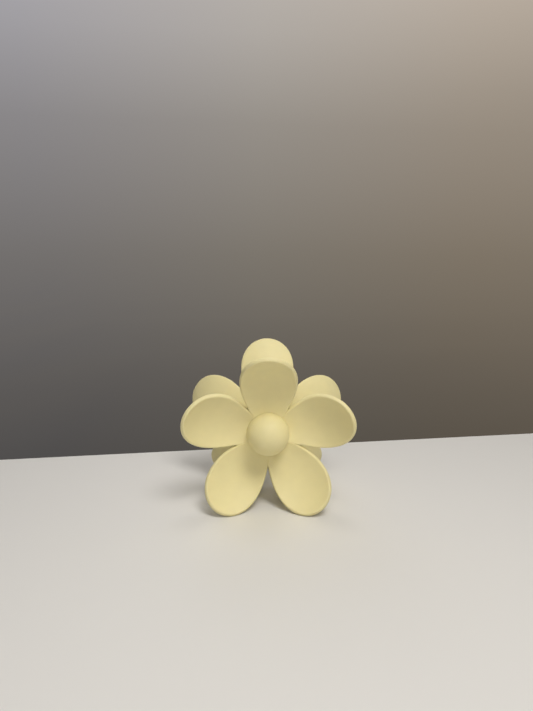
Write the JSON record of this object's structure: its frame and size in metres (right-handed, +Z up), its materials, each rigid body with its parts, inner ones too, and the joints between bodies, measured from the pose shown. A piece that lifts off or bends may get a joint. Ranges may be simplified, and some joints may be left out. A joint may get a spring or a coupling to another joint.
{
  "type": "flower claw hair clip",
  "caption": "Claw hair clip of two cupped five-petal flowers hinged back to back, with domed centres, interlocking teeth and a torsion spring.",
  "frame": {"origin": "centre of the footprint on the table, under the hinge pin", "axes": "+X along the hinge pin, -Y towards the front flower's face, +Z up towards the finger petals"},
  "size_m": [0.0756, 0.0486, 0.0731],
  "materials": {
    "jaw_plastic": "matte soft-touch",
    "button_plastic": "matte soft-touch",
    "pin_steel": "drawn wire",
    "spring_steel": "drawn wire"
  },
  "bodies": {
    "rear": {"rear_jaw": "jaw_plastic", "rear_button": "button_plastic", "hinge_pin": "pin_steel", "torsion_spring": "spring_steel"},
    "front": {"front_jaw": "jaw_plastic", "front_button": "button_plastic"}
  },
  "joints": [
    {"name": "jaw_hinge", "type": "hinge", "parent": "rear", "child": "front", "pos_m": [0, 0, 0.03454], "axis": [-1, 0, 0], "range_deg": [0, 42], "stiffness_Nm_per_rad": 0.22, "springref_deg": -34.38, "deforming": ["torsion_spring"]}
  ]
}
